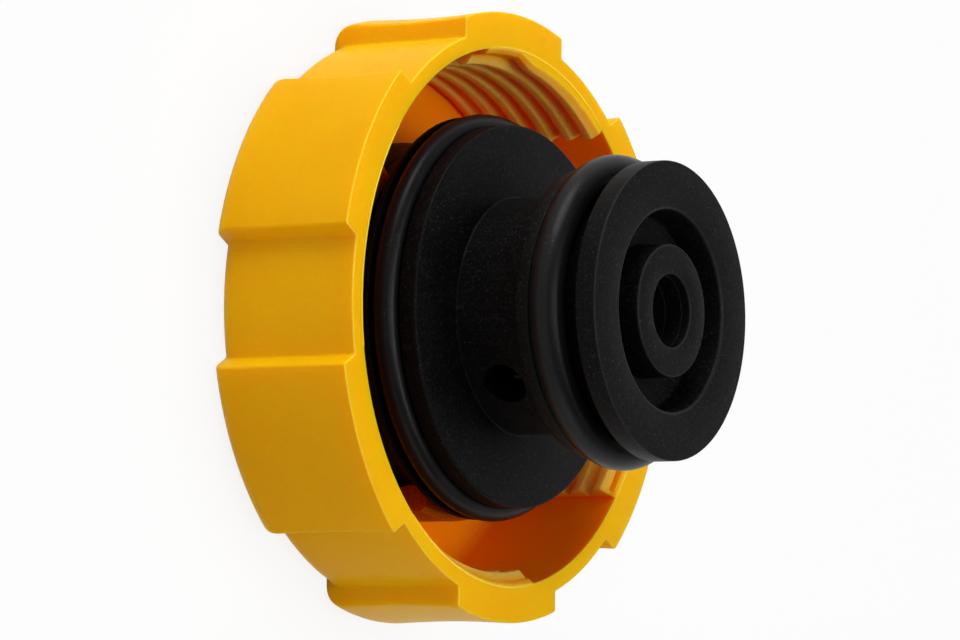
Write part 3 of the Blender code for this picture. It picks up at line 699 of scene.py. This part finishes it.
def dust_group():
    """Tiny pale specks that lie in patches, as a mask."""
    tree, given, out = group("dust_specks", [
        ("Speck Scale", "NodeSocketFloat", 900.0),
        ("Amount", "NodeSocketFloat", 0.2),
    ], [("Mask", "NodeSocketFloat")])
    place = node(tree, "ShaderNodeTexCoord")
    cells = node(tree, "ShaderNodeTexVoronoi", Randomness=1.0)
    patches = node(tree, "ShaderNodeTexNoise", Scale=160.0, Detail=2.0)
    wire(tree,
         (place.outputs["Object"], cells.inputs["Vector"]),
         (given.outputs["Speck Scale"], cells.inputs["Scale"]),
         (place.outputs["Object"], patches.inputs["Vector"]))
    dot = maths(tree, "LESS_THAN", cells.outputs["Distance"], SPECK_RADIUS)
    chosen = maths(tree, "GREATER_THAN", given.outputs["Amount"], separate_red(tree, cells.outputs["Color"]))
    patchy = maths(tree, "MULTIPLY_ADD", patches.outputs["Fac"], *PATCH_GAIN_AND_OFFSET, clamp=True)
    wire(tree, (maths(tree, "MULTIPLY", maths(tree, "MULTIPLY", dot, chosen), patchy), out.inputs["Mask"]))
    return tree


def separate_red(tree, colour):
    split = node(tree, "ShaderNodeSeparateColor")
    tree.links.new(colour, split.inputs["Color"])
    return split.outputs["Red"]


STREAK_SCALE_OUTWARD = 250.0
STREAK_SCALE_UPWARD = 40.0


def streak_group():
    """Fine streaks that run out from the axis, as turned or flow-marked faces have."""
    tree, given, out = group("radial_streaks", [
        ("Streaks", "NodeSocketFloat", 60.0),
    ], [("Mask", "NodeSocketFloat")])
    x, y, z = coordinates(tree, "Object")
    swept = maths(tree, "MULTIPLY", maths(tree, "ARCTAN2", y, x), given.outputs["Streaks"])
    outward = maths(tree, "MULTIPLY", from_axis(tree, x, y), STREAK_SCALE_OUTWARD)
    joined = node(tree, "ShaderNodeCombineXYZ")
    noise = node(tree, "ShaderNodeTexNoise", Scale=1.0, Detail=4.0, Roughness=0.65)
    wire(tree, (swept, joined.inputs["X"]), (outward, joined.inputs["Y"]),
         (maths(tree, "MULTIPLY", z, STREAK_SCALE_UPWARD), joined.inputs["Z"]),
         (joined.outputs["Vector"], noise.inputs["Vector"]), (noise.outputs["Fac"], out.inputs["Mask"]))
    return tree


def placed(tree, made, **values):
    """A shader group placed in a material, with its own values."""
    here = tree.nodes.new("ShaderNodeGroup")
    here.node_tree = made
    for label, value in values.items():
        here.inputs[label.replace("_", " ")].default_value = value
    return here


def mapped(tree, value, low, high, from_low=0.0, from_high=1.0):
    made = node(tree, "ShaderNodeMapRange")
    made.inputs["From Min"].default_value = from_low
    made.inputs["From Max"].default_value = from_high
    made.inputs["To Min"].default_value = low
    made.inputs["To Max"].default_value = high
    tree.links.new(value, made.inputs["Value"])
    return made.outputs["Result"]


MIX_COLOUR_INPUTS = (6, 7)
MIX_COLOUR_OUTPUT = 2


def mixed(tree, mask, first, second):
    """The first colour where the mask is 0, the second where it is 1."""
    made = node(tree, "ShaderNodeMix", data_type="RGBA")
    for index, value in zip(MIX_COLOUR_INPUTS, (first, second)):
        if isinstance(value, tuple):
            made.inputs[index].default_value = (*value, 1.0)
        else:
            tree.links.new(value, made.inputs[index])
    tree.links.new(mask, made.inputs[0])
    return made.outputs[MIX_COLOUR_OUTPUT]


def new_material(name, metallic=0.0, specular=0.5):
    made = bpy.data.materials.new(name)
    made.use_nodes = True
    shader = made.node_tree.nodes["Principled BSDF"]
    shader.inputs["Metallic"].default_value = metallic
    shader.inputs["Specular IOR Level"].default_value = specular
    return made, made.node_tree, shader


def bumped(tree, shader, height, strength, distance):
    bump = node(tree, "ShaderNodeBump")
    bump.inputs["Strength"].default_value = strength
    bump.inputs["Distance"].default_value = distance
    wire(tree, (height, bump.inputs["Height"]), (bump.outputs["Normal"], shader.inputs["Normal"]))


MASK_EDGE = 0.1 * MM
CREST_START = 0.15 * MM
LAND_REACH = 0.5 * MM
# Painted shade on the arms: none up to this height above the ceiling, full after the rise above that
ARM_PALE_FOOT = 0.5 * MM
ARM_DARK_RISE = 2.0 * MM


def inside_group():
    """Where painted light goes on the cap's inner faces, as masks: painted shade over the whole cavity,
    lighter painted shade on its threads, painted highlights on the crests and painted shade on the arms.
    """
    tree, given, out = group("cap_cavity", [
        ("Bore", "NodeSocketFloat", SKIRT_BORE),
        ("Mouth", "NodeSocketFloat", CAP_HEIGHT),
        ("Softness", "NodeSocketFloat", 0.6 * MM),
    ], [("Cavity Shade", "NodeSocketFloat"), ("Thread Shade", "NodeSocketFloat"), ("Crest Highlight", "NodeSocketFloat"),
        ("Arm Shade", "NodeSocketFloat")])
    x, y, height = coordinates(tree, "Object")
    radius = from_axis(tree, x, y)
    within = maths(tree, "SUBTRACT", maths(tree, "ADD", given.outputs["Bore"], MASK_EDGE), radius)
    within = maths(tree, "DIVIDE", within, MASK_EDGE, clamp=True)
    below = maths(tree, "DIVIDE", maths(tree, "SUBTRACT", given.outputs["Mouth"], height),
                  given.outputs["Softness"], clamp=True)
    above = maths(tree, "DIVIDE", maths(tree, "SUBTRACT", height, 0.5 * ROOF_WALL), MASK_EDGE, clamp=True)
    cavity = maths(tree, "MULTIPLY", maths(tree, "MULTIPLY", within, below), above)
    # Painted shade on the snap arms, growing with height towards the shoulder
    inner = maths(tree, "LESS_THAN", radius, 0.5 * (BODY_RADIUS + SKIRT_BORE))
    risen = maths(tree, "DIVIDE", maths(tree, "SUBTRACT", height, ROOF_WALL + ARM_PALE_FOOT), ARM_DARK_RISE,
                  clamp=True)
    wire(tree, (maths(tree, "MULTIPLY", inner, risen), out.inputs["Arm Shade"]))
    crest = maths(tree, "DIVIDE", maths(tree, "SUBTRACT", THREAD_ROOT_RADIUS - CREST_START, radius),
                  0.5 * THREAD_DEPTH, clamp=True)
    outward = maths(tree, "GREATER_THAN", radius, THREAD_CREST_RADIUS - LAND_REACH)
    stepped = maths(tree, "LESS_THAN", radius, THREAD_ROOT_RADIUS + MASK_EDGE)
    stepped = maths(tree, "MULTIPLY", maths(tree, "MULTIPLY", stepped, outward), cavity)
    off_ceiling = maths(tree, "GREATER_THAN", height, ROOF_WALL + CEILING_ROUND)
    stepped = maths(tree, "MULTIPLY", stepped, off_ceiling)
    wire(tree, (cavity, out.inputs["Cavity Shade"]), (stepped, out.inputs["Thread Shade"]),
         (maths(tree, "MULTIPLY", crest, stepped), out.inputs["Crest Highlight"]))
    return tree


PROUD_OF_RIM = 0.01 * MM
EDGE_SHARPNESS = 5.0


def pale_edge_group():
    """A mask for painted highlights on edges rounded between face and side near one height, and on what
    stands above it.
    """
    tree, given, out = group("pale_edges", [
        ("Mouth", "NodeSocketFloat", CAP_HEIGHT),
        ("Reach", "NodeSocketFloat", 0.25 * MM),
    ], [("Mask", "NodeSocketFloat")])
    height = coordinates(tree, "Object")[2]
    facing_up = maths(tree, "ABSOLUTE", coordinates(tree, "Normal")[2])
    foot = maths(tree, "SUBTRACT", given.outputs["Mouth"], given.outputs["Reach"])
    near = maths(tree, "DIVIDE", maths(tree, "SUBTRACT", height, foot), given.outputs["Reach"], clamp=True)
    proud = maths(tree, "GREATER_THAN", height, maths(tree, "ADD", given.outputs["Mouth"], PROUD_OF_RIM))
    slant = maths(tree, "SUBTRACT", 1.0, facing_up, clamp=True)
    turned = maths(tree, "MULTIPLY", slant, facing_up)
    rounded = maths(tree, "MULTIPLY", maths(tree, "MULTIPLY", turned, EDGE_SHARPNESS, clamp=True), near)
    wire(tree, (maths(tree, "MAXIMUM", rounded, proud), out.inputs["Mask"]))
    return tree


YELLOW_DEEP = (0.880, 0.440, 0.0010)
YELLOW_PALE = (0.920, 0.480, 0.0020)
YELLOW_GRAIN = (0.800, 0.360, 0.0008)
# Painted shade over the cap's cavity, redder and darker than its outside
CAVITY_PAINTED_SHADE = (0.990, 0.200, 0.0010)
# Painted shade on the thread zone, lighter than the deep cavity's
THREAD_PAINTED_SHADE = (0.960, 0.390, 0.0110)
# Painted highlight on the thread crests
CREST_PAINTED_HIGHLIGHT = (0.940, 0.480, 0.075)
# Painted shade on the snap arms, deepest up under the shoulder
ARM_PAINTED_SHADE = (0.420, 0.070, 0.0006)
# Painted highlight on rounded edges and the raised flash lines at the mouth
YELLOW_EDGE_HIGHLIGHT = (1.0, 0.640, 0.080)
YELLOW_SCATTER = (3.2, 0.9, 0.03)


def yellow_plastic():
    """Slightly translucent yellow, with painted shade that makes it redder inside the cap and dark on the
    arms, and painted highlights that make its edges and thread crests paler.
    """
    made, tree, shader = new_material("yellow_plastic", specular=0.045)
    grain = placed(tree, GRAIN, Grain_Scale=4200.0, Mottle_Scale=90.0)
    colour = mixed(tree, mapped(tree, grain.outputs["Mottle"], 0.0, 1.0, 0.35, 0.7),
                   YELLOW_DEEP, YELLOW_PALE)
    inside = placed(tree, INSIDE)
    # Painted shade over the whole cavity
    colour = mixed(tree, inside.outputs["Cavity Shade"], colour, CAVITY_PAINTED_SHADE)
    # Painted shade on the thread zone, lighter than the deep cavity's
    colour = mixed(tree, inside.outputs["Thread Shade"], colour, THREAD_PAINTED_SHADE)
    # Painted highlight on the thread crests
    colour = mixed(tree, inside.outputs["Crest Highlight"], colour, CREST_PAINTED_HIGHLIGHT)
    # Painted shade on the snap arms
    colour = mixed(tree, inside.outputs["Arm Shade"], colour, ARM_PAINTED_SHADE)
    # Painted highlight on the rim's rounded edges and flash lines
    edges = placed(tree, PALE_EDGES)
    colour = mixed(tree, maths(tree, "MULTIPLY", edges.outputs["Mask"], 0.75), colour, YELLOW_EDGE_HIGHLIGHT)
    speckle = mapped(tree, grain.outputs["Height"], 0.0, 0.26, 0.40, 0.72)
    colour = mixed(tree, speckle, colour, YELLOW_GRAIN)
    wire(tree, (colour, shader.inputs["Base Color"]),
         (mapped(tree, grain.outputs["Mottle"], 0.34, 0.46), shader.inputs["Roughness"]))
    shader.inputs["Subsurface Weight"].default_value = 0.8
    shader.inputs["Subsurface Radius"].default_value = YELLOW_SCATTER
    shader.inputs["Subsurface Scale"].default_value = MM
    bumped(tree, shader, grain.outputs["Height"], 0.12, 0.00003)
    return made


BLACK_DEEP = (0.0018, 0.0018, 0.0020)
BLACK_PALE = (0.0042, 0.0042, 0.0046)
BLACK_GRAIN = (0.020, 0.020, 0.022)
# Painted highlight on the tip's rounded front edges
BLACK_EDGE_HIGHLIGHT = (0.036, 0.036, 0.044)
DUST_GREY = (0.07, 0.07, 0.075)


def black_plastic():
    """Satin black with visible grain and faint streaks from the axis, and a painted highlight that makes its
    tip's edges a little paler.
    """
    made, tree, shader = new_material("black_plastic", specular=0.055)
    grain = placed(tree, GRAIN, Grain_Scale=3300.0, Mottle_Scale=260.0)
    streaks = placed(tree, STREAKS, Streaks=34.0)
    dust = placed(tree, DUST, Speck_Scale=3000.0, Amount=0.08)
    cloudy = maths(tree, "MULTIPLY", streaks.outputs["Mask"], grain.outputs["Mottle"])
    colour = mixed(tree, mapped(tree, cloudy, 0.0, 1.0, 0.12, 0.45), BLACK_DEEP, BLACK_PALE)
    speckle = mapped(tree, grain.outputs["Height"], 0.0, 0.7, 0.54, 0.70)
    colour = mixed(tree, speckle, colour, BLACK_GRAIN)
    # Painted highlight on the tip's rounded front edges
    edges = placed(tree, PALE_EDGES, Mouth=TIP_FRONT, Reach=0.35 * MM)
    colour = mixed(tree, maths(tree, "MULTIPLY", edges.outputs["Mask"], 0.6), colour, BLACK_EDGE_HIGHLIGHT)
    colour = mixed(tree, dust.outputs["Mask"], colour, DUST_GREY)
    wire(tree, (colour, shader.inputs["Base Color"]),
         (mapped(tree, cloudy, 0.40, 0.58, 0.12, 0.45), shader.inputs["Roughness"]))
    bumped(tree, shader, grain.outputs["Height"], 0.5, 0.00004)
    return made


RUBBER_BLACK = (0.0075, 0.0075, 0.0085)


def seal_rubber():
    made, tree, shader = new_material("seal_rubber", specular=0.12)
    grain = placed(tree, GRAIN, Grain_Scale=2600.0, Mottle_Scale=420.0)
    dust = placed(tree, DUST, Speck_Scale=3200.0, Amount=0.16)
    colour = mixed(tree, dust.outputs["Mask"], RUBBER_BLACK, DUST_GREY)
    wire(tree, (colour, shader.inputs["Base Color"]),
         (mapped(tree, grain.outputs["Mottle"], 0.28, 0.42, 0.3, 0.7), shader.inputs["Roughness"]))
    bumped(tree, shader, grain.outputs["Height"], 0.10, 0.00003)
    return made


def plain_metal(name, dark, light, roughness):
    """Plain metal whose colour and roughness vary a little over the surface."""
    made, tree, shader = new_material(name, metallic=1.0)
    grain = placed(tree, GRAIN, Grain_Scale=6000.0, Mottle_Scale=300.0)
    colour = mixed(tree, grain.outputs["Mottle"], dark, light)
    wire(tree, (colour, shader.inputs["Base Color"]),
         (mapped(tree, grain.outputs["Mottle"], roughness, roughness + 0.15), shader.inputs["Roughness"]))
    bumped(tree, shader, grain.outputs["Height"], 0.1, 0.00002)
    return made


GRAIN = grain_group()
DUST = dust_group()
STREAKS = streak_group()
INSIDE = inside_group()
PALE_EDGES = pale_edge_group()
YELLOW = yellow_plastic()
BLACK = black_plastic()
RUBBER = seal_rubber()
STEEL = plain_metal("spring_steel", (0.045, 0.045, 0.050), (0.080, 0.080, 0.085), 0.45)
BRASS = plain_metal("brass", (0.30, 0.20, 0.075), (0.42, 0.29, 0.12), 0.40)

# Pieces
shown("cap_moulding", screw_cap(), "screw_cap", "screw_cap", YELLOW)
shown("housing_moulding", valve_housing(), "valve_insert", "valve_housing", BLACK)
shown("large_seal", seal_ring("large_seal", LARGE_RING_LOW, LARGE_RING_HIGH, LARGE_RING_OUTER,
                             LARGE_RING_FLOOR + RING_GAP),
      "valve_insert", "large_o_ring", RUBBER)
shown("small_seal", seal_ring("small_seal", SMALL_RING_LOW - SMALL_RING_SPREAD[0],
                              SMALL_RING_HIGH + SMALL_RING_SPREAD[1], SMALL_RING_OUTER,
                              SMALL_RING_FLOOR + RING_GAP),
      "valve_insert", "small_o_ring", RUBBER)

NODE_FINISH = {
    "housing_cover": BLACK,
    "pressure_valve_plate": BLACK,
    "pressure_valve_seal": RUBBER,
    "vacuum_valve": BRASS,
    "vacuum_spring_retainer": STEEL,
}
for name, finish in NODE_FINISH.items():
    mesh = frame["nodes"][name].data
    mesh.materials.clear()
    mesh.materials.append(finish)


def body_of(node_name):
    bodies = frame["record"]["behaviour"]["bodies"]
    return next(body for body, nodes in bodies.items() if node_name in nodes)


def springy(name, node_name):
    """A coil that keeps its node's shape and rides on its node's body."""
    coil = shown(name, frame["nodes"][node_name].data.copy(), body_of(node_name), node_name,
                 STEEL)
    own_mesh(coil)


COIL_NAMES = {"pressure_spring": "pressure_coil", "vacuum_spring": "vacuum_coil"}
for joint in frame["record"]["behaviour"]["joints"]:
    for soft in joint.get("deforming_nodes", []):
        springy(COIL_NAMES[soft["node"]], soft["node"])


# Camera, floor and light

# Each lamp's direction as the camera sees it (right, up, toward the camera), and its power in watts
LAMPS = {
    "overhead": ((0.0, 0.95, 0.3), 4.8),
    "right_side": ((0.95, 0.0, 0.35), 3.9),
    "front_right": ((0.6, 0.1, 0.8), 1.6),
    "from_below": ((0.1, -0.9, 0.4), 0.55),
}
LAMP_DISTANCE = 0.8
LAMP_SIZE = 0.6
WORLD_STRENGTH = 0.10
# The white surround is full up to the first height of a direction and gone at the second
WHITE_WALL = (0.30, 0.50)
FLOOR_HALF_WIDTH = 1.5
FLOOR_SHADE = 0.86
FLOOR_GLOW = 0.88


def view_axes():
    """The part's axes seen from the camera: right, down and forward components of each."""
    lean, roll = math.radians(AXIS_LEAN_DEG), math.radians(AXIS_ROLL_DEG)
    along = Vector((math.sin(lean) * math.cos(roll), math.sin(lean) * math.sin(roll), -math.cos(lean)))
    up = Vector((0.0, -1.0, 0.0))
    y_axis = (up - up.dot(along) * along).normalized()
    return y_axis.cross(along), y_axis, along


def make_camera():
    x_axis, y_axis, z_axis = view_axes()
    to_part = Matrix((x_axis, y_axis, z_axis))
    right, down, forward = (to_part @ Vector(v) for v in ((1, 0, 0), (0, 1, 0), (0, 0, 1)))
    data = bpy.data.cameras.new("photo_view")
    data.sensor_width = SENSOR_WIDTH
    data.lens = FOCAL_PIXELS / IMAGE_WIDTH * SENSOR_WIDTH
    data.clip_start, data.clip_end = 0.01, 20.0
    camera = bpy.data.objects.new("photo_view", data)
    bpy.context.scene.collection.objects.link(camera)
    turn = Matrix((right, -down, -forward)).transposed()
    camera.matrix_world = turn.to_4x4()
    camera.location = Vector((0, 0, CAP_HEIGHT)) - to_part @ RIM_FROM_CAMERA
    bpy.context.scene.camera = camera
    return to_part


def seen_from_camera(to_part, right, up, toward):
    """A direction given as the photograph shows it, turned into the part's axes."""
    return (to_part @ Vector((right, -up, -toward))).normalized()


def softbox(name, direction, power):
    """A round soft lamp that looks at the middle of the rim."""
    data = bpy.data.lights.new(name, "AREA")
    data.shape = "DISK"
    data.size = LAMP_SIZE
    data.energy = power
    lamp = bpy.data.objects.new(name, data)
    bpy.context.scene.collection.objects.link(lamp)
    aim = Vector((0, 0, CAP_HEIGHT))
    lamp.location = aim + direction * LAMP_DISTANCE
    lamp.rotation_mode = "QUATERNION"
    lamp.rotation_quaternion = (-direction).to_track_quat("-Z", "Y")


def seen_directly(tree):
    """1 for rays from the camera, through glass or off gloss, which see the white surroundings."""
    path = node(tree, "ShaderNodeLightPath")
    seen = maths(tree, "MAXIMUM", path.outputs["Is Camera Ray"], path.outputs["Is Transmission Ray"])
    return maths(tree, "MAXIMUM", seen, path.outputs["Is Glossy Ray"])


def pale_floor():
    work = bmesh.new()
    bmesh.ops.create_grid(work, x_segments=1, y_segments=1, size=FLOOR_HALF_WIDTH)
    floor = bpy.data.objects.new("floor", finished_mesh("floor", work))
    bpy.context.scene.collection.objects.link(floor)
    made, tree, shader = new_material("floor_paper")
    shader.inputs["Base Color"].default_value = (FLOOR_SHADE, FLOOR_SHADE, FLOOR_SHADE, 1.0)
    shader.inputs["Roughness"].default_value = 0.9
    glow = node(tree, "ShaderNodeEmission", Strength=1.0)
    blend = node(tree, "ShaderNodeMixShader")
    out = tree.nodes["Material Output"]
    share = maths(tree, "MULTIPLY", seen_directly(tree), FLOOR_GLOW)
    wire(tree, (share, blend.inputs["Fac"]), (shader.outputs["BSDF"], blend.inputs[1]),
         (glow.outputs["Emission"], blend.inputs[2]), (blend.outputs["Shader"], out.inputs["Surface"]))
    floor.data.materials.append(made)


def plain_world():
    """Even dim light, and a white surround low down that fades out higher up."""
    world = bpy.data.worlds.new("studio")
    bpy.context.scene.world = world
    world.use_nodes = True
    tree = world.node_tree
    backdrop = tree.nodes["Background"]
    backdrop.inputs["Color"].default_value = (1.0, 1.0, 1.0, 1.0)
    wall = mapped(tree, coordinates(tree, "Generated")[2], 1.0, 0.0, *WHITE_WALL)
    white = maths(tree, "MULTIPLY", seen_directly(tree), wall)
    wire(tree, (mapped(tree, white, WORLD_STRENGTH, 1.0), backdrop.inputs["Strength"]))


to_part = make_camera()
pale_floor()
plain_world()
for name, (direction, power) in LAMPS.items():
    softbox(name, seen_from_camera(to_part, *direction), power)

bpy.context.scene.view_settings.view_transform = "Standard"
